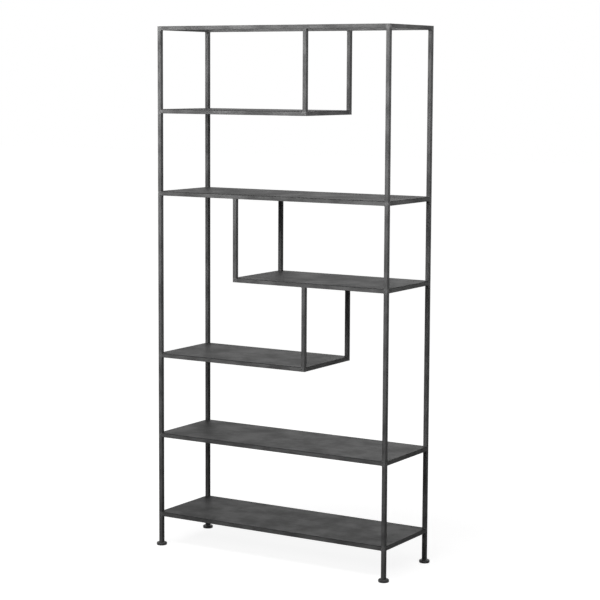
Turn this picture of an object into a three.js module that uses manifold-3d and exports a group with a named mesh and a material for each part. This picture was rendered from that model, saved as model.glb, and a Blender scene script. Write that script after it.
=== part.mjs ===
// Zigzag bookshelf: an open etagere welded from square steel tube, with sheet steel shelves.
// Three short shelves hang from the level above them, in turn on the left and on the right.
// Millimetres, +Z up. The origin is on the floor under the middle of the frame, and the front faces -Y.
import * as THREE from "three";
import { mergeVertices } from "three/addons/utils/BufferGeometryUtils.js";
import Module from "manifold-3d";

const wasm = await Module();
wasm.setup();

// Frame, measured over the outside of the uprights
const frameWidth = 1000;
const frameDepth = 332;
const frameHeight = 2000;

// Levels
const lowestShelfTop = 131;
const shortShelfLap = 316; // how far a left and a right short shelf lap each other, seen from above

// Square tube
const tubeSize = 15;
const tubeWall = 1.2;
const tubeInnerRadius = 0.6;
const tubeCornerDivisions = 2; // an arc gets twice as many sides
const boreCornerDivisions = 1;

// Shelf sheet, welded on top of its four rails
const sheetThickness = 1.2;
const sheetReveal = 0.5; // the sheet's edge stays this far inside the tubes' outer faces
const sheetEdgeBreak = 0.3;
const notchClearance = 0.3; // between the corner notch and the post that passes through it
const notchSteps = 4;

// Levelling foot: a pressed steel cup over a nylon sole, on a threaded stud
const footDiameter = 40;
const footHeight = 12;
const footFit = 0.3; // running clearance between the pieces of a foot
const cupWall = 1.2;
const cupLift = 2; // the cup's rim stays this far above the floor
const cupShoulderRadius = 4.5;
const cupCrown = 0.8; // how far the cup's top falls from its seat to its shoulder
const cupRimRadius = 0.5;
const seatMargin = 1; // flat seat left round the corners of the tube
const soleLip = 0.6; // the sole's lip stays this far inside the cup's rim
const soleEdgeRadius = 0.8;
const studReach = 24; // above the cup
const studTipChamfer = 1;
const studHeadDiameter = 16;
const studHeadThickness = 3;
const studNeckDepth = 0.6; // relief turned under the thread's last turn
const studNeckLength = 1.6;
const insertLength = 20;
const insertWall = 1.7; // thinnest metal left round the insert's thread
const turnedSides = 28;
const studSides = 16;
const shoulderSteps = 4;
const innerShoulderSteps = 2;
const rimSteps = 2;

// One overrun for every cut
const cutOverrun = 2;

// Which uprights each level reaches, from the lowest level up: a short shelf stays on one side
const levelSpans = ["full", "full", "left", "right", "full", "left"];

// Places that follow from the sizes
const left = -frameWidth / 2;
const right = frameWidth / 2;
const front = -frameDepth / 2;
const back = frameDepth / 2;
const levelPitch = (frameHeight - lowestShelfTop) / levelSpans.length;
const shortShelfLength = (frameWidth + shortShelfLap) / 2;
const tubeEnd = footHeight + footFit; // the uprights stop here, just clear of the cups
const tubeBore = tubeSize - 2 * tubeWall;
const insertSize = tubeBore - 2 * footFit;
const studDiameter = insertSize - 2 * (insertWall + footFit);
const rimRadius = footDiameter / 2;
const shoulderR = rimRadius - cupShoulderRadius;
const shoulderZ = footHeight - cupCrown - cupShoulderRadius;
const headTop = footHeight - cupWall - footFit;
const headUnderside = headTop - studHeadThickness;
const pocketFloor = headUnderside - footFit;

// Materials
const blackenedSteel = { color: 0x5b5b5a, roughness: 0.48, metalness: 0.6 };
const blackenedSheet = { color: 0x565656, roughness: 0.55, metalness: 0.55 };
const footSteel = { color: 0x353535, roughness: 0.45, metalness: 0.6 };
const soleNylon = { color: 0x161616, roughness: 0.7, metalness: 0 };
const platedSteel = { color: 0x9a9a98, roughness: 0.35, metalness: 0.95 };

function addMesh(group, name, geometry, finish) {
  const mesh = new THREE.Mesh(geometry, new THREE.MeshStandardMaterial(finish));
  mesh.name = name;
  group.add(mesh);
  return mesh;
}

// Joins a geometry's shared corners, so that it can be cut as a solid
function toSolid(geometry) {
  const bare = geometry.clone();
  bare.deleteAttribute("normal");
  bare.deleteAttribute("uv");
  const merged = mergeVertices(bare);
  const vertProperties = merged.attributes.position.array;
  const triVerts = new Uint32Array(merged.index.array);
  return new wasm.Manifold(new wasm.Mesh({ numProp: 3, vertProperties, triVerts }));
}

function cut(geometry, tool) {
  const mesh = toSolid(geometry).subtract(toSolid(tool)).getMesh();
  const result = new THREE.BufferGeometry();
  result.setAttribute("position", new THREE.BufferAttribute(mesh.vertProperties, 3));
  result.setIndex(new THREE.BufferAttribute(mesh.triVerts, 1));
  result.computeVertexNormals();
  return result;
}

// A square with round corners, whose low corner lies at (inset, inset)
function roundedSquare(size, radius, inset) {
  const path = new THREE.Shape();
  const near = inset + radius;
  const far = inset + size - radius;
  path.absarc(far, near, radius, -Math.PI / 2, 0);
  path.absarc(far, far, radius, 0, Math.PI / 2);
  path.absarc(near, far, radius, Math.PI / 2, Math.PI);
  path.absarc(near, near, radius, Math.PI, 1.5 * Math.PI);
  path.closePath();
  return path;
}

const tubeOutline = () => roundedSquare(tubeSize, tubeInnerRadius + tubeWall, 0);
const borePoints = () => roundedSquare(tubeBore, tubeInnerRadius, tubeWall).getPoints(boreCornerDivisions);

function extrudeTube(shape, length) {
  return new THREE.ExtrudeGeometry(shape, {
    depth: length,
    bevelEnabled: false,
    curveSegments: tubeCornerDivisions,
  });
}

// A length of tube along +Z, open at both ends
function openTube(length) {
  const section = tubeOutline();
  section.holes.push(new THREE.Path(borePoints()));
  return extrudeTube(section, length);
}

// A length of tube along +Z with one end closed by a welded plate
function cappedTube(length, cappedEnd) {
  const bore = extrudeTube(new THREE.Shape(borePoints()), length - tubeWall + cutOverrun);
  bore.translate(0, 0, cappedEnd === "top" ? -cutOverrun : tubeWall);
  return cut(extrudeTube(tubeOutline(), length), bore);
}

// A rail along X that hangs down from topZ, with its front face at frontY
function railAlongX(group, name, fromX, toX, frontY, topZ) {
  const rail = addMesh(group, name, openTube(toX - fromX), blackenedSteel);
  rail.rotation.y = Math.PI / 2;
  rail.position.set(fromX, frontY, topZ);
}

// A rail along Y that hangs down from topZ, with its left face at leftX
function railAlongY(group, name, leftX, fromY, toY, topZ) {
  const rail = addMesh(group, name, openTube(toY - fromY), blackenedSteel);
  rail.rotation.x = -Math.PI / 2;
  rail.position.set(leftX, fromY, topZ);
}

// Four rails between the posts at the corners of a level
function railFrame(group, name, fromX, toX, topZ) {
  const innerLeft = fromX + tubeSize;
  const innerRight = toX - tubeSize;
  const innerFront = front + tubeSize;
  const innerBack = back - tubeSize;
  railAlongX(group, `${name}_rail_front`, innerLeft, innerRight, front, topZ);
  railAlongX(group, `${name}_rail_back`, innerLeft, innerRight, innerBack, topZ);
  railAlongY(group, `${name}_rail_left`, fromX, innerFront, innerBack, topZ);
  railAlongY(group, `${name}_rail_right`, innerRight, innerFront, innerBack, topZ);
}

// The sheet's outline about its centre: a rectangle whose corners are notched round the posts
function notchedOutline(length, depth) {
  const notch = tubeSize + notchClearance - sheetReveal;
  const radius = tubeInnerRadius + tubeWall + notchClearance;
  const corners = [[1, -1], [1, 1], [-1, 1], [-1, -1]];
  const points = corners.flatMap(([signX, signY], turn) => {
    const edgeX = (signX * length) / 2;
    const edgeY = (signY * depth) / 2;
    const innerX = edgeX - signX * notch;
    const innerY = edgeY - signY * notch;
    const startAngle = Math.PI + (turn * Math.PI) / 2;
    const endAngle = startAngle - Math.PI / 2;
    const centreX = innerX + signX * radius;
    const centreY = innerY + signY * radius;
    const fillet = new THREE.EllipseCurve(centreX, centreY, radius, radius, startAngle, endAngle, true);
    const onFrontOrBack = new THREE.Vector2(innerX, edgeY);
    const onSide = new THREE.Vector2(edgeX, innerY);
    const [enter, leave] = turn % 2 === 0 ? [onFrontOrBack, onSide] : [onSide, onFrontOrBack];
    return [enter, ...fillet.getPoints(notchSteps), leave];
  });
  return new THREE.Shape(points);
}

function shelfSheet(group, name, fromX, toX, undersideZ) {
  const length = toX - fromX - 2 * sheetReveal;
  const depth = frameDepth - 2 * sheetReveal;
  const geometry = new THREE.ExtrudeGeometry(notchedOutline(length, depth), {
    depth: sheetThickness - 2 * sheetEdgeBreak,
    bevelThickness: sheetEdgeBreak,
    bevelSize: sheetEdgeBreak,
    bevelOffset: -sheetEdgeBreak,
    bevelSegments: 1,
  });
  geometry.translate(0, 0, sheetEdgeBreak);
  const sheet = addMesh(group, name, geometry, blackenedSheet);
  sheet.position.set((fromX + toX) / 2, 0, undersideZ);
}

// The two posts that hang a short shelf's free end from the level above it
function hangers(group, name, leftX, fromZ, toZ) {
  for (const [side, frontY] of [["front", front], ["back", back - tubeSize]]) {
    const post = addMesh(group, `${name}_hanger_${side}`, cappedTube(toZ - fromZ, "bottom"), blackenedSteel);
    post.position.set(leftX, frontY, fromZ);
  }
}

// One level: its rails and its sheet, and hangers where it is short
function addLevel(group, index) {
  const span = levelSpans[index];
  const name = `shelf_${index + 1}`;
  const topZ = lowestShelfTop + index * levelPitch;
  const fromX = span === "right" ? right - shortShelfLength : left;
  const toX = span === "left" ? left + shortShelfLength : right;
  const railTop = topZ - sheetThickness;
  railFrame(group, name, fromX, toX, railTop);
  shelfSheet(group, `${name}_panel`, fromX, toX, railTop);
  if (span === "full") return;
  const isHighest = index === levelSpans.length - 1;
  const railTopAbove = isHighest ? frameHeight : topZ + levelPitch - sheetThickness;
  const freeEndX = span === "left" ? toX - tubeSize : fromX;
  hangers(group, name, freeEndX, railTop - tubeSize, railTopAbove - tubeSize);
}

// Points of an arc in a turned profile, from one angle to the other
function arcPoints(centreR, centreZ, radius, fromAngle, toAngle, steps) {
  const points = [];
  for (let step = 0; step <= steps; step++) {
    const angle = fromAngle + ((toAngle - fromAngle) * step) / steps;
    points.push(new THREE.Vector2(centreR + radius * Math.cos(angle), centreZ + radius * Math.sin(angle)));
  }
  return points;
}

// A body turned about Z from a profile of radii and heights, listed from the bottom up on the outside
function turned(profile, sides) {
  return new THREE.LatheGeometry(profile, sides).rotateX(Math.PI / 2);
}

// The domed cup: flat seat for the tube, falling crown, round shoulder, upright rim with an open underside
function cupGeometry() {
  const hole = studDiameter / 2 + footFit;
  const seat = tubeSize / Math.SQRT2 + seatMargin;
  const rimInside = new THREE.Vector2(rimRadius - cupWall, cupLift);
  const profile = [
    rimInside,
    ...arcPoints(rimRadius - cupRimRadius, cupLift + cupRimRadius, cupRimRadius, -Math.PI / 2, 0, rimSteps),
    ...arcPoints(shoulderR, shoulderZ, cupShoulderRadius, 0, Math.PI / 2, shoulderSteps),
    new THREE.Vector2(seat, footHeight),
    new THREE.Vector2(hole, footHeight),
    new THREE.Vector2(hole, footHeight - cupWall),
    new THREE.Vector2(seat, footHeight - cupWall),
    ...arcPoints(shoulderR, shoulderZ, cupShoulderRadius - cupWall, Math.PI / 2, 0, innerShoulderSteps),
    rimInside,
  ];
  return turned(profile, turnedSides);
}

// The nylon sole fills the cup, and its lip stands under the cup's rim. A pocket on top takes the stud's head.
function soleGeometry() {
  const lip = rimRadius - soleLip;
  const lipTop = cupLift - footFit;
  const plug = rimRadius - cupWall - footFit;
  const plugShoulder = plug - shoulderR;
  const pocket = studHeadDiameter / 2 + footFit;
  const profile = [
    new THREE.Vector2(0, 0),
    ...arcPoints(lip - soleEdgeRadius, soleEdgeRadius, soleEdgeRadius, -Math.PI / 2, 0, rimSteps),
    new THREE.Vector2(lip, lipTop),
    new THREE.Vector2(plug, lipTop),
    ...arcPoints(shoulderR, shoulderZ, plugShoulder, 0, Math.PI / 2, rimSteps),
    new THREE.Vector2(pocket, shoulderZ + plugShoulder),
    new THREE.Vector2(pocket, pocketFloor),
    new THREE.Vector2(0, pocketFloor),
  ];
  return turned(profile, turnedSides);
}

// The stud turns in the sole's pocket. Its shank climbs through the cup into the threaded insert.
function studGeometry() {
  const head = studHeadDiameter / 2;
  const shank = studDiameter / 2;
  const neck = shank - studNeckDepth;
  const tip = footHeight + studReach;
  const profile = [
    new THREE.Vector2(0, headUnderside),
    new THREE.Vector2(head, headUnderside),
    new THREE.Vector2(head, headTop),
    new THREE.Vector2(neck, headTop),
    new THREE.Vector2(neck, headTop + studNeckLength),
    new THREE.Vector2(shank, headTop + studNeckLength + studNeckDepth),
    new THREE.Vector2(shank, tip - studTipChamfer),
    new THREE.Vector2(shank - studTipChamfer, tip),
    new THREE.Vector2(0, tip),
  ];
  return turned(profile, studSides);
}

// The threaded plug in the end of the upright
function insertGeometry() {
  const block = roundedSquare(insertSize, tubeInnerRadius, -insertSize / 2);
  const thread = new THREE.Path().absarc(0, 0, studDiameter / 2 + footFit, 0, 2 * Math.PI);
  block.holes.push(new THREE.Path(thread.getPoints(studSides / 2)));
  return new THREE.ExtrudeGeometry(block, {
    depth: insertLength,
    bevelEnabled: false,
    curveSegments: boreCornerDivisions,
  });
}

// One corner: the upright, the insert in its open lower end, and the foot below it
function addCorner(group, name, lowX, lowY) {
  const upright = addMesh(group, `upright_${name}`, cappedTube(frameHeight - tubeEnd, "top"), blackenedSteel);
  upright.position.set(lowX, lowY, tubeEnd);
  const foot = new THREE.Group();
  foot.position.set(lowX + tubeSize / 2, lowY + tubeSize / 2, 0);
  group.add(foot);
  const insert = addMesh(foot, `foot_${name}_insert`, insertGeometry(), platedSteel);
  insert.position.z = tubeEnd;
  addMesh(foot, `foot_${name}_stud`, studGeometry(), platedSteel);
  addMesh(foot, `foot_${name}_cup`, cupGeometry(), footSteel);
  addMesh(foot, `foot_${name}_sole`, soleGeometry(), soleNylon);
}

function buildBookshelf() {
  const group = new THREE.Group();
  group.name = "zigzag_bookshelf";
  addCorner(group, "front_left", left, front);
  addCorner(group, "front_right", right - tubeSize, front);
  addCorner(group, "back_left", left, back - tubeSize);
  addCorner(group, "back_right", right - tubeSize, back - tubeSize);
  railFrame(group, "top", left, right, frameHeight);
  levelSpans.forEach((span, index) => addLevel(group, index));
  return group;
}

const bookshelf = buildBookshelf();

export default bookshelf;
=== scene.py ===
# A zigzag bookshelf of welded square tube and sheet steel on four levelling feet
import math

import bmesh
import bpy
from mathutils import Matrix, Vector


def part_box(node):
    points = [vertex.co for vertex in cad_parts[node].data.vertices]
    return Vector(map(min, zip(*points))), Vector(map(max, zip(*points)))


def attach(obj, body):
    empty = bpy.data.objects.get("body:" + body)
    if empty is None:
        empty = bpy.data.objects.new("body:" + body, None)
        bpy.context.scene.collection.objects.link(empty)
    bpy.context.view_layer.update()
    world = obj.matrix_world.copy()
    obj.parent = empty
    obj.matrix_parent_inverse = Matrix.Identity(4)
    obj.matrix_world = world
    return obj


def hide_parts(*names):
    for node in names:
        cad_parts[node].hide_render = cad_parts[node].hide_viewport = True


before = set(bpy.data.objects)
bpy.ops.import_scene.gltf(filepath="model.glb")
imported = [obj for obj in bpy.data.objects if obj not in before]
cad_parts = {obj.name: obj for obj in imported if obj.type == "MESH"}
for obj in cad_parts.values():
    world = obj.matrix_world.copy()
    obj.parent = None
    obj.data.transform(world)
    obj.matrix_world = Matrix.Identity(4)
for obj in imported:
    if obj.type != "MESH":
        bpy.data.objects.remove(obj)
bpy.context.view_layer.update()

corners = ["front_left", "front_right", "back_left", "back_right"]
sides = ["front", "back", "left", "right"]
levels = ["shelf_%d" % number for number in range(1, 7)]
hungLevels = [level for level in levels if level + "_hanger_front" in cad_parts]
print("frame loaded with", len(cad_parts), "nodes")


# Small helpers for working by hand in edit mode

def addedPiece(name):
    # The primitive just added gets its name, and its place goes into its mesh
    piece = bpy.context.object
    piece.name = name
    piece.data.name = name
    bpy.ops.object.transform_apply(location=True, rotation=True, scale=True)
    return piece


def startEditing(piece):
    bpy.ops.object.select_all(action="DESELECT")
    bpy.context.view_layer.objects.active = piece
    piece.select_set(True)
    bpy.ops.object.mode_set(mode="EDIT")
    bpy.ops.mesh.select_all(action="DESELECT")


def stopEditing():
    bpy.ops.object.mode_set(mode="OBJECT")


def pickFaces(wanted):
    # wanted is asked about each face's middle and normal
    bpy.ops.mesh.select_mode(type="FACE")
    bpy.ops.mesh.select_all(action="DESELECT")
    mesh = bmesh.from_edit_mesh(bpy.context.object.data)
    for face in mesh.faces:
        face.select_set(bool(wanted(face.calc_center_median(), face.normal)))
    bmesh.update_edit_mesh(bpy.context.object.data)


def pickEdges(wanted):
    # wanted is asked about each edge's two ends
    bpy.ops.mesh.select_mode(type="EDGE")
    bpy.ops.mesh.select_all(action="DESELECT")
    mesh = bmesh.from_edit_mesh(bpy.context.object.data)
    for edge in mesh.edges:
        edge.select_set(bool(wanted(edge.verts[0].co, edge.verts[1].co)))
    bmesh.update_edit_mesh(bpy.context.object.data)


def applyModifier(piece, kind, **settings):
    bpy.context.view_layer.objects.active = piece
    bpy.ops.object.modifier_add(type=kind)
    modifier = piece.modifiers[-1]
    for setting, value in settings.items():
        setattr(modifier, setting, value)
    bpy.ops.object.modifier_apply(modifier=modifier.name)


def smoothByAngle(piece, degrees):
    bpy.ops.object.select_all(action="DESELECT")
    bpy.context.view_layer.objects.active = piece
    piece.select_set(True)
    bpy.ops.object.shade_smooth_by_angle(angle=math.radians(degrees))


def joinPieces(name, pieces):
    bpy.ops.object.select_all(action="DESELECT")
    for piece in pieces:
        piece.select_set(True)
    bpy.context.view_layer.objects.active = pieces[0]
    bpy.ops.object.join()
    return addedPiece(name)


def givePiece(piece, material, body, replaced=None):
    piece.data.materials.clear()
    piece.data.materials.append(material)
    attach(piece, body)
    if replaced:
        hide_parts(replaced)


# Small helpers for materials

def startMaterial(name):
    material = bpy.data.materials.new(name)
    material.use_nodes = True
    return material, material.node_tree, material.node_tree.nodes["Principled BSDF"]


def feed(tree, socket, source):
    # A socket takes either a plain value or another node's output
    if isinstance(source, bpy.types.NodeSocket):
        tree.links.new(source, socket)
    else:
        socket.default_value = source


def attributeOf(tree, name, output):
    node = tree.nodes.new("ShaderNodeAttribute")
    node.attribute_name = name
    return node.outputs[output]


def objectPlace(tree):
    return tree.nodes.new("ShaderNodeTexCoord").outputs["Object"]


def stretched(tree, place, scale):
    node = tree.nodes.new("ShaderNodeMapping")
    feed(tree, node.inputs["Vector"], place)
    feed(tree, node.inputs["Scale"], scale)
    return node.outputs["Vector"]


def noise(tree, place, scale, detail=3.0, roughness=0.5):
    node = tree.nodes.new("ShaderNodeTexNoise")
    feed(tree, node.inputs["Vector"], place)
    feed(tree, node.inputs["Scale"], scale)
    feed(tree, node.inputs["Detail"], detail)
    feed(tree, node.inputs["Roughness"], roughness)
    return node.outputs["Fac"]


def spread(tree, source, low, high, toLow=0.0, toHigh=1.0):
    # A part of a pattern's range is drawn out over another range
    node = tree.nodes.new("ShaderNodeMapRange")
    node.interpolation_type = "SMOOTHSTEP"
    feed(tree, node.inputs["Value"], source)
    feed(tree, node.inputs["From Min"], low)
    feed(tree, node.inputs["From Max"], high)
    feed(tree, node.inputs["To Min"], toLow)
    feed(tree, node.inputs["To Max"], toHigh)
    return node.outputs["Result"]


def worked(tree, kind, first, second=0.0):
    # Plain arithmetic on two values
    node = tree.nodes.new("ShaderNodeMath")
    node.operation = kind
    feed(tree, node.inputs[0], first)
    feed(tree, node.inputs[1], second)
    return node.outputs["Value"]


def blended(tree, share, first, second):
    node = tree.nodes.new("ShaderNodeMix")
    node.data_type = "RGBA"
    feed(tree, node.inputs["Factor"], share)
    feed(tree, node.inputs["A"], first)
    feed(tree, node.inputs["B"], second)
    return node.outputs["Result"]


def bumped(tree, height, distance, strength=1.0, under=None):
    node = tree.nodes.new("ShaderNodeBump")
    feed(tree, node.inputs["Height"], height)
    feed(tree, node.inputs["Distance"], distance)
    feed(tree, node.inputs["Strength"], strength)
    if under:
        tree.links.new(under, node.inputs["Normal"])
    return node.outputs["Normal"]


def grey(value, warmth=0.0):
    return (value * (1 + warmth), value, value * (1 - warmth), 1.0)


# A pattern is given as its cells to the metre, its octaves and its roughness.
# A range is the part of a pattern that is drawn out, and then what it is drawn out over.

# The tubes' finish: drawn steel under a thin dark lacquer, ground bright where it was welded
tubeFinish = {
    "dark": grey(0.104),
    "light": grey(0.192),
    "edge": grey(0.05),
    "groundWeld": grey(0.34),
    "groundShare": 0.55,
    "half": 0.0075,  # from the tube's middle to its face
    "edgeWidth": 0.002,
    "runs": (22.0, 3.0, 0.5),
    "runStretch": (0.3, 1.0, 1.0),
    "patches": (38.0, 4.0, 0.5),
    "patchStretch": (0.4, 1.0, 1.0),
    "drawnLines": (2000.0, 2.0),
    "lineStretch": (0.03, 1.0, 1.0),
    "weldPatches": (210.0, 4.0, 0.65),
    "dullPatches": (90.0, 3.0),
    "grain": (1500.0, 2.0),
    "cloudRange": (0.38, 0.62),
    "lineRange": (0.45, 0.8, 0.0, 0.3),
    "cornerDarkRange": (0.35, 0.65, 0.4, 0.9),
    "weldPatchRange": (0.3, 0.7),
    "groundRange": (0.3, 0.8),
    "roughness": (0.3, 0.7, 0.44, 0.58),
    "specular": 0.05,
    "lineDepth": 0.00003,
    "grainDepth": 0.00002,
    "grainStrength": 0.6,
}


def makeTubeFinish():
    finish = tubeFinish
    material, tree, shader = startMaterial("lacqueredTube")
    place = attributeOf(tree, "runPlace", "Vector")
    runs = noise(tree, stretched(tree, place, finish["runStretch"]), *finish["runs"])
    patches = noise(tree, stretched(tree, place, finish["patchStretch"]), *finish["patches"])
    clouds = worked(tree, "MULTIPLY", worked(tree, "ADD", runs, patches), 0.5)
    lines = noise(tree, stretched(tree, place, finish["lineStretch"]), *finish["drawnLines"])
    colour = blended(tree, spread(tree, clouds, *finish["cloudRange"]), finish["dark"], finish["light"])
    colour = blended(tree, spread(tree, lines, *finish["lineRange"]), colour, finish["light"])

    # Along the rounded corners the colour is darker in places
    split = tree.nodes.new("ShaderNodeSeparateXYZ")
    feed(tree, split.inputs[0], place)
    across = worked(tree, "ABSOLUTE", split.outputs["Y"])
    upwards = worked(tree, "ABSOLUTE", split.outputs["Z"])
    inner = worked(tree, "MINIMUM", across, upwards)
    nearCorner = spread(tree, inner, finish["half"] - finish["edgeWidth"], finish["half"])
    cornerDarkening = worked(tree, "MULTIPLY", nearCorner, spread(tree, patches, *finish["cornerDarkRange"]))
    colour = blended(tree, cornerDarkening, colour, finish["edge"])

    # Ground weld marks, uneven at their edges
    weldMark = attributeOf(tree, "weldMark", "Fac")
    patchy = spread(tree, noise(tree, place, *finish["weldPatches"]), *finish["weldPatchRange"])
    ground = spread(tree, worked(tree, "MULTIPLY", weldMark, patchy), *finish["groundRange"])
    groundPart = worked(tree, "MULTIPLY", ground, finish["groundShare"])
    colour = blended(tree, groundPart, colour, finish["groundWeld"])

    feed(tree, shader.inputs["Base Color"], colour)
    shader.inputs["Specular IOR Level"].default_value = finish["specular"]
    dull = spread(tree, noise(tree, place, *finish["dullPatches"]), *finish["roughness"])
    feed(tree, shader.inputs["Roughness"], dull)
    drawn = bumped(tree, lines, finish["lineDepth"])
    grain = noise(tree, place, *finish["grain"])
    surface = bumped(tree, grain, finish["grainDepth"], finish["grainStrength"], drawn)
    feed(tree, shader.inputs["Normal"], surface)
    return material


# The sheets' finish: the same lacquer on flat sheet, clouded, with faint rolling streaks and specks.
# Along its rim a painted shadow line darkens it where the sheet meets its rails, so each sheet's finish
# knows that sheet's own box.
sheetFinish = {
    "dark": grey(0.018),
    "light": grey(0.038),
    "streak": grey(0.085),
    "speck": grey(0.008),
    # the colour of the painted shadow line along the sheet's rim
    "rim": grey(0.008),
    "rimWidth": 0.003,
    "clouds": (9.0, 6.0, 0.62),
    "blotches": (34.0, 4.0, 0.6),
    "rolling": (5.0, 4.0, 0.55),
    "rollingStretch": (0.7, 16.0, 1.0),
    "scratches": (14.0, 2.0),
    "scratchStretch": (1.0, 60.0, 1.0),
    "specks": (120.0, 1.0),
    "waves": (4.0, 1.0),
    "grain": (1300.0, 2.0),
    "cloudRange": (0.32, 0.68),
    "blotchRange": (0.5, 0.8, 0.0, 0.4),
    "rollingRange": (0.58, 0.78, 0.0, 0.5),
    "scratchRange": (0.7, 0.8, 0.0, 0.35),
    "speckRange": (0.76, 0.8),
    "rimRange": (0.3, 0.6, 0.6, 1.0),
    "roughness": (0.3, 0.7, 0.6, 0.5),
    "specular": 0.12,
    "waveHeight": 0.0004,
    "grainDepth": 0.00002,
    "grainStrength": 0.6,
}


def nearRim(tree, place, low, high):
    # 0 on the flat of the sheet, rising to 1 at its edges
    split = tree.nodes.new("ShaderNodeSeparateXYZ")
    feed(tree, split.inputs[0], place)
    fromEdges = []
    for axis, output in enumerate(("X", "Y")):
        middle, half = (low[axis] + high[axis]) / 2, (high[axis] - low[axis]) / 2
        offMiddle = worked(tree, "SUBTRACT", split.outputs[output], middle)
        out = worked(tree, "ABSOLUTE", offMiddle)
        fromEdges.append(worked(tree, "SUBTRACT", out, half))
    outermost = worked(tree, "MAXIMUM", fromEdges[0], fromEdges[1])
    return spread(tree, outermost, -sheetFinish["rimWidth"], -sheetFinish["rimWidth"] / 3)


def makeSheetFinish(level):
    finish = sheetFinish
    material, tree, shader = startMaterial("lacqueredSheet_" + level)
    place = objectPlace(tree)
    clouds = noise(tree, place, *finish["clouds"])
    blotches = noise(tree, place, *finish["blotches"])
    rolling = noise(tree, stretched(tree, place, finish["rollingStretch"]), *finish["rolling"])
    scratches = noise(tree, stretched(tree, place, finish["scratchStretch"]), *finish["scratches"])
    specks = noise(tree, place, *finish["specks"])
    colour = blended(tree, spread(tree, clouds, *finish["cloudRange"]), finish["dark"], finish["light"])
    colour = blended(tree, spread(tree, blotches, *finish["blotchRange"]), colour, finish["light"])
    colour = blended(tree, spread(tree, rolling, *finish["rollingRange"]), colour, finish["streak"])
    colour = blended(tree, spread(tree, scratches, *finish["scratchRange"]), colour, finish["streak"])
    colour = blended(tree, spread(tree, specks, *finish["speckRange"]), colour, finish["speck"])

    # A painted shadow line along the sheet's rim, uneven in places, stands in for the shade where the
    # sheet meets its rails
    low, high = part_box(level + "_panel")
    uneven = spread(tree, blotches, *finish["rimRange"])
    rim = worked(tree, "MULTIPLY", nearRim(tree, place, low, high), uneven)
    colour = blended(tree, rim, colour, finish["rim"])

    feed(tree, shader.inputs["Base Color"], colour)
    shader.inputs["Specular IOR Level"].default_value = finish["specular"]
    feed(tree, shader.inputs["Roughness"], spread(tree, clouds, *finish["roughness"]))
    wavy = bumped(tree, noise(tree, place, *finish["waves"]), finish["waveHeight"])
    grain = noise(tree, place, *finish["grain"])
    surface = bumped(tree, grain, finish["grainDepth"], finish["grainStrength"], wavy)
    feed(tree, shader.inputs["Normal"], surface)
    return material


# The weld beads' finish: scaly steel under the lacquer
beadFinish = {
    "dark": grey(0.035, 0.03),
    "light": grey(0.13, 0.02),
    "scale": (420.0, 4.0, 0.65),
    "scaleRange": (0.35, 0.68),
    "roughness": (0.3, 0.7, 0.34, 0.55),
    "specular": 0.35,
    "scaleDepth": 0.00012,
}


def makeBeadFinish():
    finish = beadFinish
    material, tree, shader = startMaterial("weldSteel")
    scale = noise(tree, objectPlace(tree), *finish["scale"])
    colour = blended(tree, spread(tree, scale, *finish["scaleRange"]), finish["dark"], finish["light"])
    feed(tree, shader.inputs["Base Color"], colour)
    shader.inputs["Specular IOR Level"].default_value = finish["specular"]
    feed(tree, shader.inputs["Roughness"], spread(tree, scale, *finish["roughness"]))
    feed(tree, shader.inputs["Normal"], bumped(tree, scale, finish["scaleDepth"]))
    return material


# The feet's cups: painted pressed steel, rubbed pale in spots
cupFinish = {
    "dark": grey(0.05),
    "light": grey(0.08),
    "rubbed": grey(0.2),
    "clouds": (120.0, 4.0, 0.6),
    "rubs": (60.0, 5.0, 0.7),
    "grain": (1100.0, 2.0),
    "cloudRange": (0.35, 0.65),
    "rubRange": (0.6, 0.74, 0.0, 0.5),
    "roughness": (0.3, 0.7, 0.36, 0.5),
    "specular": 0.3,
    "grainDepth": 0.00003,
}


def makeCupFinish():
    finish = cupFinish
    material, tree, shader = startMaterial("paintedCup")
    place = objectPlace(tree)
    clouds = noise(tree, place, *finish["clouds"])
    rubs = noise(tree, place, *finish["rubs"])
    colour = blended(tree, spread(tree, clouds, *finish["cloudRange"]), finish["dark"], finish["light"])
    colour = blended(tree, spread(tree, rubs, *finish["rubRange"]), colour, finish["rubbed"])
    feed(tree, shader.inputs["Base Color"], colour)
    shader.inputs["Specular IOR Level"].default_value = finish["specular"]
    feed(tree, shader.inputs["Roughness"], spread(tree, clouds, *finish["roughness"]))
    grain = noise(tree, place, *finish["grain"])
    feed(tree, shader.inputs["Normal"], bumped(tree, grain, finish["grainDepth"]))
    return material


# The feet's soles: moulded black nylon
nylonFinish = {
    "dark": grey(0.012),
    "light": grey(0.02),
    "mottle": (260.0, 3.0),
    "grain": (2200.0, 2.0),
    "mottleRange": (0.3, 0.7),
    "roughness": (0.3, 0.7, 0.5, 0.66),
    "specular": 0.4,
    "grainDepth": 0.00003,
}


def makeNylonFinish():
    finish = nylonFinish
    material, tree, shader = startMaterial("blackNylon")
    place = objectPlace(tree)
    mottle = noise(tree, place, *finish["mottle"])
    mottled = spread(tree, mottle, *finish["mottleRange"])
    colour = blended(tree, mottled, finish["dark"], finish["light"])
    feed(tree, shader.inputs["Base Color"], colour)
    shader.inputs["Specular IOR Level"].default_value = finish["specular"]
    feed(tree, shader.inputs["Roughness"], spread(tree, mottle, *finish["roughness"]))
    grain = noise(tree, place, *finish["grain"])
    feed(tree, shader.inputs["Normal"], bumped(tree, grain, finish["grainDepth"]))
    return material


# The feet's studs and inserts: bright zinc
zincFinish = {
    "dark": (0.42, 0.43, 0.44, 1.0),
    "light": (0.62, 0.62, 0.6, 1.0),
    "spangle": (340.0, 4.0, 0.6),
    "grain": (1800.0, 2.0),
    "spangleRange": (0.3, 0.7),
    "roughness": (0.3, 0.7, 0.28, 0.42),
    "grainDepth": 0.00001,
}


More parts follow.
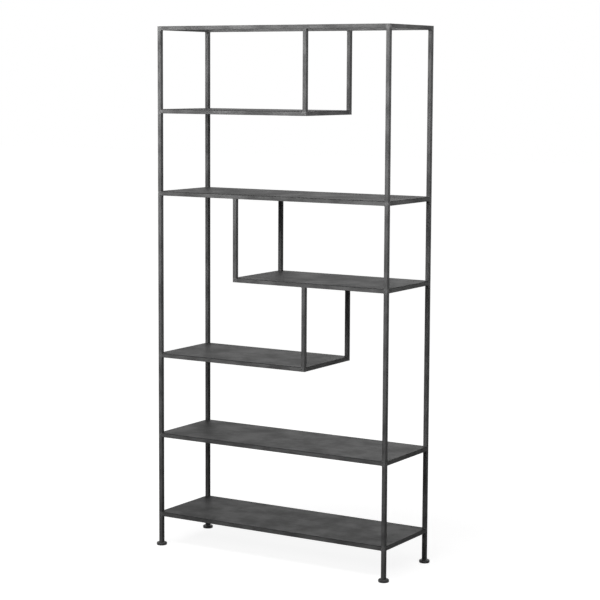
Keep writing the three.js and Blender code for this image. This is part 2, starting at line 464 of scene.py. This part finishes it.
def makeZincFinish():
    finish = zincFinish
    material, tree, shader = startMaterial("zincPlate")
    place = objectPlace(tree)
    spangle = noise(tree, place, *finish["spangle"])
    spangled = spread(tree, spangle, *finish["spangleRange"])
    colour = blended(tree, spangled, finish["dark"], finish["light"])
    feed(tree, shader.inputs["Base Color"], colour)
    shader.inputs["Metallic"].default_value = 1.0
    feed(tree, shader.inputs["Roughness"], spread(tree, spangle, *finish["roughness"]))
    grain = noise(tree, place, *finish["grain"])
    feed(tree, shader.inputs["Normal"], bumped(tree, grain, finish["grainDepth"]))
    return material


lacqueredTube = makeTubeFinish()
lacqueredSheets = {level: makeSheetFinish(level) for level in levels}
weldSteel = makeBeadFinish()
paintedCup = makeCupFinish()
blackNylon = makeNylonFinish()
zincPlate = makeZincFinish()
print("finishes mixed")


# Square tubes: a box with rolled corners, hollow from its open ends
tube = {
    "wall": 0.0012,
    "cornerRadius": 0.0008,
    "cornerSteps": 3,
    "smoothAngle": 30,
    "normalWeight": 90,
    "hangerSeed": 10,
    "railSeed": 20,
    "seedStep": 1.37,  # how far each tube's pattern lies from the last one's
    "markFade": 0.009,  # how far a ground mark runs out along the tube
    "leastRun": 0.0005,  # no ring is cut closer to an end than this
    "touch": 0.001,
    "near": 0.0002,
}


def touching(first, second):
    lowA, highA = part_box(first)
    lowB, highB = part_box(second)
    reach = tube["touch"]
    return all(lowA[i] - reach < highB[i] and lowB[i] - reach < highA[i] for i in range(3))


def weldedRanges(name, others, along):
    # Where other tubes meet this one, as ranges along it
    ranges = []
    for other in others:
        if other != name and touching(name, other):
            low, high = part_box(other)
            ranges.append((low[along], high[along]))
    return sorted(set(ranges))


def cutRing(along, place):
    point = Vector((0.0, 0.0, 0.0))
    normal = Vector((0.0, 0.0, 0.0))
    point[along] = place
    normal[along] = 1.0
    bpy.ops.mesh.select_all(action="SELECT")
    bpy.ops.mesh.bisect(plane_co=point, plane_no=normal)


def hollowOut(low, high, along, openLow, openHigh):
    # Both ends open: the two inset faces are bridged. One end open: its face is pushed along the tube.
    wall = tube["wall"]
    near = tube["near"]

    def atOpenEnd(middle, normal):
        atLow = openLow and abs(middle[along] - low[along]) < near
        atHigh = openHigh and abs(middle[along] - high[along]) < near
        return atLow or atHigh

    pickFaces(atOpenEnd)
    bpy.ops.mesh.inset(thickness=wall, use_even_offset=True)
    if openLow and openHigh:
        bpy.ops.mesh.bridge_edge_loops()
        return
    push = Vector((0.0, 0.0, 0.0))
    push[along] = (high[along] - low[along] - wall) * (1 if openLow else -1)
    bpy.ops.mesh.extrude_region_move(TRANSFORM_OT_translate={"value": push})


def pickLongCorners(low, high, along):
    # Picks the four outer edges that run the length of the tube
    across = [axis for axis in range(3) if axis != along]

    def onCorner(point):
        outs = [min(abs(point[axis] - low[axis]), abs(point[axis] - high[axis])) for axis in across]
        return max(outs) < tube["near"]

    def isLong(first, second):
        return abs(first[along] - second[along]) > (high - low)[along] / 2

    pickEdges(lambda a, b: isLong(a, b) and onCorner(a) and onCorner(b))


def noteRun(piece, low, high, along, seed, ranges, endsWelded):
    # Every point knows its place along and across its own tube, and how near a ground weld it is
    mesh = piece.data
    middle = (low + high) / 2
    across = [axis for axis in range(3) if axis != along]
    mesh.attributes.new("runPlace", "FLOAT_VECTOR", "POINT")
    mesh.attributes.new("weldMark", "FLOAT", "POINT")
    runPlace = mesh.attributes["runPlace"]
    weldMark = mesh.attributes["weldMark"]
    near = tube["near"]
    for vertex in mesh.vertices:
        spot = vertex.co
        runPlace.data[vertex.index].vector = (
            spot[along] + seed * tube["seedStep"],
            spot[across[0]] - middle[across[0]],
            spot[across[1]] - middle[across[1]],
        )
        marked = any(start - near < spot[along] < stop + near for start, stop in ranges)
        atEnd = min(abs(spot[along] - low[along]), abs(spot[along] - high[along])) < near
        weldMark.data[vertex.index].value = 1.0 if marked or (endsWelded and atEnd) else 0.0


def makeTube(node, along, openLow, openHigh, seed, others):
    low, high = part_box(node)
    isPost = along == 2
    bpy.ops.mesh.primitive_cube_add(size=1, location=(low + high) / 2, scale=high - low)
    piece = addedPiece("tube_" + node)
    startEditing(piece)
    hollowOut(low, high, along, openLow, openHigh)
    pickLongCorners(low, high, along)
    bpy.ops.mesh.bevel(offset=tube["cornerRadius"], segments=tube["cornerSteps"], profile=0.5)

    ranges = weldedRanges(node, others, along) if isPost else []
    fade = tube["markFade"]
    rings = [low[along] + fade, high[along] - fade]
    for start, stop in ranges:
        rings += [start - fade, start, stop, stop + fade]
    for place in sorted(set(round(ring, 6) for ring in rings)):
        if low[along] + tube["leastRun"] < place < high[along] - tube["leastRun"]:
            cutRing(along, place)
    stopEditing()

    smoothByAngle(piece, tube["smoothAngle"])
    applyModifier(piece, "WEIGHTED_NORMAL", keep_sharp=True, weight=tube["normalWeight"])
    noteRun(piece, low, high, along, seed, ranges, not isPost)
    givePiece(piece, lacqueredTube, "root", node)


uprights = ["upright_" + corner for corner in corners]
hangers = [level + "_hanger_" + side for level in hungLevels for side in ("front", "back")]
rails = ["top_rail_" + side for side in sides]
rails += [level + "_rail_" + side for level in levels for side in sides]
for number, node in enumerate(uprights):
    makeTube(node, 2, True, False, number, rails)
for number, node in enumerate(hangers):
    makeTube(node, 2, False, True, tube["hangerSeed"] + number, rails)
for number, node in enumerate(rails):
    alongX = node.endswith("front") or node.endswith("back")
    makeTube(node, 0 if alongX else 1, True, True, tube["railSeed"] + number, [])
print("tubes made:", len(uprights + hangers + rails))


# Sheets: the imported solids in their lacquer
for level in levels:
    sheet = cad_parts[level + "_panel"]
    for materialSlot in sheet.material_slots:
        materialSlot.material = lacqueredSheets[level]
print("sheets lacquered:", len(levels))


# Weld beads: one rippled run is modelled, then copied into every corner that is welded
bead = {
    "radius": 0.0022,
    "length": 0.013,
    "sides": 7,
    "ripples": 8,
    "dip": 0.84,  # size of every second ring
    "taper": 0.5,  # size of the two end rings
    "rise": 0.0007,  # out of the corner that the bead lies in
    "tackLength": 0.018,
    "tackSize": 0.75,
    "tackPitch": 0.17,
    "smoothAngle": 60,
    "near": 0.0001,
}


def makeBeadPattern():
    bpy.ops.mesh.primitive_cylinder_add(
        vertices=bead["sides"], radius=bead["radius"], depth=bead["length"],
        rotation=(0, math.pi / 2, 0),
    )
    piece = addedPiece("beadPattern")
    startEditing(piece)
    pickEdges(lambda a, b: abs(a.x - b.x) > bead["length"] / 2)
    bpy.ops.mesh.subdivide(number_cuts=bead["ripples"] - 1)
    for ring in range(bead["ripples"] + 1):
        place = bead["length"] * (ring / bead["ripples"] - 0.5)
        atEnd = ring in (0, bead["ripples"])
        size = bead["taper"] if atEnd else (bead["dip"] if ring % 2 else 1.0)
        pickEdges(lambda a, b: abs(a.x - place) < bead["near"] and abs(b.x - place) < bead["near"])
        bpy.ops.transform.resize(value=(1, size, size), center_override=(place, 0, 0))
    stopEditing()
    smoothByAngle(piece, bead["smoothAngle"])
    return piece


def layBead(pattern, start, end, facings, size=1.0):
    # The run lies in the corner of two faces, raised a little out of it
    lifted = (facings[0] + facings[1]) * bead["rise"] * size
    run = end - start
    copied = pattern.copy()
    copied.data = pattern.data.copy()
    bpy.context.collection.objects.link(copied)
    turn = run.to_track_quat("X", "Z").to_matrix().to_4x4()
    drawn = Matrix.Diagonal((run.length / bead["length"], size, size, 1))
    copied.matrix_world = Matrix.Translation((start + end) / 2 + lifted) @ turn @ drawn
    return copied


def cornerBeads(pattern, level, freeEnd):
    # One upright run in each inner corner, and two below it where the post goes on down
    xLow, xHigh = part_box(level + "_rail_left")[1].x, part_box(level + "_rail_right")[0].x
    yLow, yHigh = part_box(level + "_rail_front")[1].y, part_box(level + "_rail_back")[0].y
    low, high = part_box(level + "_rail_front")
    size = high.z - low.z
    trim = bead["radius"] / 2
    down = Vector((0, 0, -1))
    beads = []
    for x, inX in ((xLow, 1), (xHigh, -1)):
        for y, inY in ((yLow, 1), (yHigh, -1)):
            bottom = Vector((x, y, low.z + trim))
            top = Vector((x, y, high.z - trim))
            facing = Vector((inX, 0, 0)), Vector((0, inY, 0))
            beads.append(layBead(pattern, bottom, top, facing))
            if freeEnd == ("right" if inX < 0 else "left"):
                continue
            start = Vector((x, y - inY * trim, low.z))
            end = Vector((x, y - inY * (size - trim), low.z))
            beads.append(layBead(pattern, start, end, (facing[0], down)))
            start = Vector((x - inX * trim, y, low.z))
            end = Vector((x - inX * (size - trim), y, low.z))
            beads.append(layBead(pattern, start, end, (facing[1], down)))
    return beads


def hangerBeads(pattern, level):
    # Round the top of each hanging post, under the rail that carries it
    trim = bead["radius"] / 2
    down = Vector((0, 0, -1))
    beads = []
    for side, inY in (("front", 1), ("back", -1)):
        low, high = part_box(level + "_hanger_" + side)
        innerY = high.y if inY > 0 else low.y
        for x, facingX in ((low.x, -1), (high.x, 1)):
            start = Vector((x, low.y + trim, high.z))
            end = Vector((x, high.y - trim, high.z))
            beads.append(layBead(pattern, start, end, (Vector((facingX, 0, 0)), down)))
        start = Vector((low.x + trim, innerY, high.z))
        end = Vector((high.x - trim, innerY, high.z))
        beads.append(layBead(pattern, start, end, (Vector((0, inY, 0)), down)))
    return beads


def sheetTacks(pattern, level):
    # Short runs under the sheet, along the inner faces of its rails
    down = Vector((0, 0, -1))
    inwards = {"front": (0, 1, 0), "back": (0, -1, 0), "left": (1, 0, 0), "right": (-1, 0, 0)}
    beads = []
    for side in sides:
        low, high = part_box(level + "_rail_" + side)
        along = 0 if side in ("front", "back") else 1
        inner = Vector(inwards[side])
        count = max(1, round((high[along] - low[along]) / bead["tackPitch"]) - 1)
        for number in range(count):
            middle = (low + high) / 2
            middle.z = high.z
            middle += inner * (high - low)[1 - along] / 2
            middle[along] = low[along] + (high[along] - low[along]) * (number + 1) / (count + 1)
            half = Vector((0, 0, 0))
            half[along] = bead["tackLength"] / 2
            start, end = middle - half, middle + half
            beads.append(layBead(pattern, start, end, (inner, down), bead["tackSize"]))
    return beads


def freeEndOf(level):
    # The end where a short level hangs, away from the uprights
    if level not in hungLevels:
        return None
    sheetLow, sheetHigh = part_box(level + "_panel")
    return "right" if sheetLow.x + sheetHigh.x < 0 else "left"


pattern = makeBeadPattern()
for level in ["top"] + levels:
    beads = cornerBeads(pattern, level, freeEndOf(level))
    if level in hungLevels:
        beads += hangerBeads(pattern, level)
    if level != "top":
        beads += sheetTacks(pattern, level)
    welds = joinPieces(level + "_welds", beads)
    givePiece(welds, weldSteel, "root")
    print(level, "welded with", len(beads), "beads")
bpy.data.objects.remove(pattern)


# Levelling feet
foot = {
    "cupRadius": 0.020,
    "cupTop": 0.012,
    "cupRim": 0.002,
    "cupWall": 0.0012,
    "cupCrown": 0.0008,  # from the shoulder up to the seat
    "shoulder": 0.0045,
    "shoulderSteps": 10,
    "rimRound": 0.0005,
    "rimSteps": 3,
    "seatRadius": 0.0116,  # the flat that the upright stands over
    "holeRadius": 0.0043,
    "turnedSides": 96,
    "turnedAngle": 35,
    "soleRadius": 0.0194,
    "soleTop": 0.0017,
    "soleRound": 0.0008,
    "soleSteps": 4,
    "plugRadius": 0.0185,
    "plugTop": 0.0097,
    "plugRound": 0.003,
    "plugSteps": 5,
    "pocketRadius": 0.0083,
    "pocketFloor": 0.0072,
    "headRadius": 0.008,
    "headTop": 0.0105,
    "headHeight": 0.003,
    "headRound": 0.0004,
    "headSteps": 2,
    "headSides": 48,
    "coreSunk": 0.0002,  # into the head
    "coreRadius": 0.0033,
    "coreSides": 40,
    "threadRadius": 0.004,
    "threadPitch": 0.00125,
    "threadShare": 0.46,  # half the thread's foot as a share of its pitch
    "threadStart": 0.0128,
    "threadSteps": 40,
    "threadAngle": 30,
    "studTip": 0.036,
    "tipChamfer": 0.0008,
    "near": 0.0001,
    "flat": 0.00001,
    "leastFacing": 0.999,
}


def footCentre(corner):
    low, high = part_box("foot_" + corner + "_cup")
    return Vector(((low.x + high.x) / 2, (low.y + high.y) / 2, 0))


def addTurned(name, centre, radius, bottom, top, turnedSides):
    place = centre + Vector((0, 0, (bottom + top) / 2))
    bpy.ops.mesh.primitive_cylinder_add(
        vertices=turnedSides, radius=radius, depth=top - bottom, location=place
    )
    return addedPiece(name)


def ringAt(centre, radius, height):
    # Picks the closed edge loop of a turned piece at one radius and height
    def onRing(point):
        out = math.hypot(point.x - centre.x, point.y - centre.y)
        return abs(out - radius) < foot["near"] and abs(point.z - height) < foot["near"]

    pickEdges(lambda a, b: onRing(a) and onRing(b))


def flatAt(height, facing):
    # Picks the faces that lie flat at one height, facing up or down
    def isFlat(middle, normal):
        return abs(middle.z - height) < foot["flat"] and normal.z * facing > foot["leastFacing"]

    pickFaces(isFlat)


def makeCup(corner):
    centre = footCentre(corner)
    crownFoot = foot["cupTop"] - foot["cupCrown"]
    heights = foot["cupRim"], crownFoot
    cup = addTurned("cup_" + corner, centre, foot["cupRadius"], *heights, foot["turnedSides"])
    startEditing(cup)
    ringAt(centre, foot["cupRadius"], crownFoot)
    bpy.ops.mesh.bevel(offset=foot["shoulder"], segments=foot["shoulderSteps"], profile=0.5)

    # The top rises to the seat, with the stud's hole in its middle, and the underside is open
    flatAt(crownFoot, 1)
    bpy.ops.mesh.inset(thickness=foot["cupRadius"] - foot["shoulder"] - foot["seatRadius"])
    bpy.ops.transform.translate(value=(0, 0, foot["cupCrown"]))
    bpy.ops.mesh.inset(thickness=foot["seatRadius"] - foot["holeRadius"])
    bpy.ops.mesh.delete(type="FACE")
    flatAt(foot["cupRim"], -1)
    bpy.ops.mesh.delete(type="FACE")
    stopEditing()

    # The sheet gets its wall inwards, and then its lower edge is rounded
    applyModifier(cup, "SOLIDIFY", thickness=foot["cupWall"], offset=-1.0, use_even_offset=True)
    startEditing(cup)
    ringAt(centre, foot["cupRadius"], foot["cupRim"])
    bpy.ops.mesh.bevel(offset=foot["rimRound"], segments=foot["rimSteps"], profile=0.5)
    stopEditing()
    smoothByAngle(cup, foot["turnedAngle"])
    givePiece(cup, paintedCup, "foot_" + corner, "foot_" + corner + "_cup")


def makeSole(corner):
    centre = footCentre(corner)
    heights = 0.0, foot["soleTop"]
    sole = addTurned("sole_" + corner, centre, foot["soleRadius"], *heights, foot["turnedSides"])
    startEditing(sole)
    ringAt(centre, foot["soleRadius"], 0.0)
    bpy.ops.mesh.bevel(offset=foot["soleRound"], segments=foot["soleSteps"], profile=0.5)
    flatAt(foot["soleTop"], 1)
    bpy.ops.mesh.inset(thickness=foot["soleRadius"] - foot["plugRadius"])
    rise = foot["plugTop"] - foot["soleTop"]
    bpy.ops.mesh.extrude_region_move(TRANSFORM_OT_translate={"value": (0, 0, rise)})
    ringAt(centre, foot["plugRadius"], foot["plugTop"])
    bpy.ops.mesh.bevel(offset=foot["plugRound"], segments=foot["plugSteps"], profile=0.5)

    # The stud's head turns in a pocket
    flatAt(foot["plugTop"], 1)
    bpy.ops.mesh.inset(thickness=foot["plugRadius"] - foot["plugRound"] - foot["pocketRadius"])
    sink = foot["pocketFloor"] - foot["plugTop"]
    bpy.ops.mesh.extrude_region_move(TRANSFORM_OT_translate={"value": (0, 0, sink)})
    stopEditing()
    smoothByAngle(sole, foot["turnedAngle"])
    givePiece(sole, blackNylon, "foot_" + corner, "foot_" + corner + "_sole")


def makeStud(corner):
    centre = footCentre(corner)
    heights = foot["headTop"] - foot["headHeight"], foot["headTop"]
    head = addTurned("studHead", centre, foot["headRadius"], *heights, foot["headSides"])
    startEditing(head)
    ringAt(centre, foot["headRadius"], foot["headTop"])
    bpy.ops.mesh.bevel(offset=foot["headRound"], segments=foot["headSteps"], profile=0.5)
    stopEditing()
    heights = foot["headTop"] - foot["coreSunk"], foot["studTip"]
    core = addTurned("studCore", centre, foot["coreRadius"], *heights, foot["coreSides"])
    startEditing(core)
    ringAt(centre, foot["coreRadius"], foot["studTip"])
    bpy.ops.mesh.bevel(offset=foot["tipChamfer"], segments=1)
    stopEditing()

    # A diamond section is wound up the core, one pitch a turn
    depth = foot["threadRadius"] - foot["coreRadius"]
    threadLength = foot["studTip"] - foot["tipChamfer"] - foot["threadStart"]
    turns = int(threadLength / foot["threadPitch"]) - 1
    sectionMiddle = (foot["coreRadius"], 0, foot["threadStart"])
    bpy.ops.mesh.primitive_circle_add(
        vertices=4, radius=depth, fill_type="NOTHING",
        rotation=(math.pi / 2, 0, 0), location=sectionMiddle,
    )
    thread = addedPiece("studThread")
    startEditing(thread)
    bpy.ops.mesh.select_all(action="SELECT")
    squash = foot["threadPitch"] * foot["threadShare"] / depth
    bpy.ops.transform.resize(value=(1, 1, squash), center_override=sectionMiddle)
    stopEditing()
    applyModifier(
        thread, "SCREW", angle=2 * math.pi, screw_offset=foot["threadPitch"], iterations=turns,
        steps=foot["threadSteps"], render_steps=foot["threadSteps"], use_smooth_shade=False,
    )

    # It moves to its foot, and its two open ends are closed
    thread.location = centre
    startEditing(thread)
    bpy.ops.mesh.select_all(action="SELECT")
    bpy.ops.mesh.normals_make_consistent(inside=False)
    bpy.ops.mesh.select_mode(type="EDGE")
    bpy.ops.mesh.select_all(action="DESELECT")
    bpy.ops.mesh.select_non_manifold()
    bpy.ops.mesh.fill()
    stopEditing()
    stud = joinPieces("stud_" + corner, [head, core, thread])
    smoothByAngle(stud, foot["threadAngle"])
    givePiece(stud, zincPlate, "stud_" + corner, "foot_" + corner + "_stud")


for corner in corners:
    makeCup(corner)
    makeSole(corner)
    makeStud(corner)
    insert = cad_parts["foot_" + corner + "_insert"]
    for materialSlot in insert.material_slots:
        materialSlot.material = zincPlate
print("feet made:", len(corners))


# Floor, background and lamps
studio = {
    "floorSize": 60.0,
    "floorBounce": grey(0.1),
    "floorColour": grey(0.4),
    "glowDistances": (0.5, 1.6),
    "glowStrengths": (0.9, 1.0),
    "fill": 0.02,
}
lamps = {
    "frontBox": {"place": (0.0, -3.4, 2.5), "aim": (0.0, 0.0, 1.3), "size": (1.2, 1.2), "watts": 17.0},
    "overFront": {"place": (0.0, -1.2, 2.8), "aim": (0.0, 0.0, 1.6), "size": (1.4, 0.5), "watts": 9.5},
    "upperLeft": {"place": (-0.9, -1.3, 2.1), "aim": (-0.3, 0.0, 1.6), "size": (0.9, 0.6), "watts": 12.5},
    "upperFront": {"place": (0.9, -1.3, 2.1), "aim": (0.3, 0.0, 1.6), "size": (0.9, 0.6), "watts": 7.5},
    "upperRight": {"place": (1.7, -0.3, 2.1), "aim": (0.3, 0.0, 1.6), "size": (0.6, 0.6), "watts": 5.5},
    "lowFront": {"place": (0.3, -2.2, 1.3), "aim": (0.0, 0.0, 1.2), "size": (1.5, 1.0), "watts": 2.4},
    "behind": {"place": (0.0, 2.0, 3.3), "aim": (0.0, 0.0, 1.0), "size": (2.0, 1.0), "watts": 4.0},
    "wideBehind": {"place": (-0.6, 3.0, 1.3), "aim": (0.0, 0.0, 1.0), "size": (2.4, 1.4), "watts": 4.0},
    "lowBehind": {"place": (-1.6, 2.55, 0.9), "aim": (0.0, 0.0, 0.7), "size": (1.6, 0.6), "watts": 2.0},
}


def seenDirectly(tree):
    # 1 for what the camera sees, straight or by reflection, 0 for light that only falls on the object
    path = tree.nodes.new("ShaderNodeLightPath")
    seen = worked(tree, "MAXIMUM", path.outputs["Is Camera Ray"], path.outputs["Is Glossy Ray"])
    return worked(tree, "MAXIMUM", seen, path.outputs["Is Transmission Ray"])


def makeFloor():
    # To the camera it glows up to white and keeps the object's shadow. To other light it is dull.
    bpy.ops.mesh.primitive_plane_add(size=studio["floorSize"])
    floor = addedPiece("floor")
    material = bpy.data.materials.new("paleFloor")
    material.use_nodes = True
    tree = material.node_tree
    tree.nodes.remove(tree.nodes["Principled BSDF"])
    bounce = tree.nodes.new("ShaderNodeBsdfDiffuse")
    feed(tree, bounce.inputs["Color"], studio["floorBounce"])
    pale = tree.nodes.new("ShaderNodeBsdfDiffuse")
    feed(tree, pale.inputs["Color"], studio["floorColour"])
    glow = tree.nodes.new("ShaderNodeEmission")
    away = tree.nodes.new("ShaderNodeVectorMath")
    away.operation = "LENGTH"
    feed(tree, away.inputs[0], objectPlace(tree))
    growing = spread(tree, away.outputs["Value"], *studio["glowDistances"], *studio["glowStrengths"])
    feed(tree, glow.inputs["Strength"], growing)
    bright = tree.nodes.new("ShaderNodeAddShader")
    tree.links.new(pale.outputs[0], bright.inputs[0])
    tree.links.new(glow.outputs[0], bright.inputs[1])
    choice = tree.nodes.new("ShaderNodeMixShader")
    tree.links.new(seenDirectly(tree), choice.inputs[0])
    tree.links.new(bounce.outputs[0], choice.inputs[1])
    tree.links.new(bright.outputs[0], choice.inputs[2])
    tree.links.new(choice.outputs[0], tree.nodes["Material Output"].inputs["Surface"])
    floor.data.materials.append(material)


def makeWorld():
    world = bpy.data.worlds.new("studioWalls")
    bpy.context.scene.world = world
    world.use_nodes = True
    tree = world.node_tree
    background = tree.nodes["Background"]
    background.inputs["Color"].default_value = grey(1.0)
    strength = spread(tree, seenDirectly(tree), 0.0, 1.0, studio["fill"], 1.0)
    tree.links.new(strength, background.inputs["Strength"])


def makeLamp(name, lamp):
    bpy.ops.object.light_add(type="AREA", location=lamp["place"])
    light = bpy.context.object
    light.name = name
    light.data.shape = "RECTANGLE"
    light.data.size, light.data.size_y = lamp["size"]
    light.data.energy = lamp["watts"]
    light.visible_camera = False
    toAim = Vector(lamp["aim"]) - Vector(lamp["place"])
    light.rotation_euler = toAim.to_track_quat("-Z", "Y").to_euler()


makeFloor()
makeWorld()
for name, lamp in lamps.items():
    makeLamp(name, lamp)
print("studio lit")


# Camera at the photograph's place
view = {
    "place": (3.5898, -5.8022, 1.8159),
    "turn": 0.54969,
    "downTilt": 0.10872,
    "roll": 0.00497,
    "lens": 109.396,
    "sensor": 36.0,
    "farEnd": 200.0,
    "imageSide": 600,
    "axisAboveMiddle": 25,
}


def makeCamera():
    bpy.ops.object.camera_add(location=view["place"])
    camera = bpy.context.object
    camera.name = "camera"
    turned = Matrix.Rotation(view["turn"], 4, "Z")
    tilted = Matrix.Rotation(math.pi / 2 - view["downTilt"], 4, "X")
    rolled = Matrix.Rotation(view["roll"], 4, "Z")
    camera.rotation_euler = (turned @ tilted @ rolled).to_euler()
    camera.data.lens = view["lens"]
    camera.data.sensor_width = view["sensor"]
    camera.data.shift_y = -view["axisAboveMiddle"] / view["imageSide"]
    camera.data.clip_end = view["farEnd"]
    bpy.context.scene.camera = camera


makeCamera()
bpy.context.scene.view_settings.view_transform = "Standard"
print("camera set")
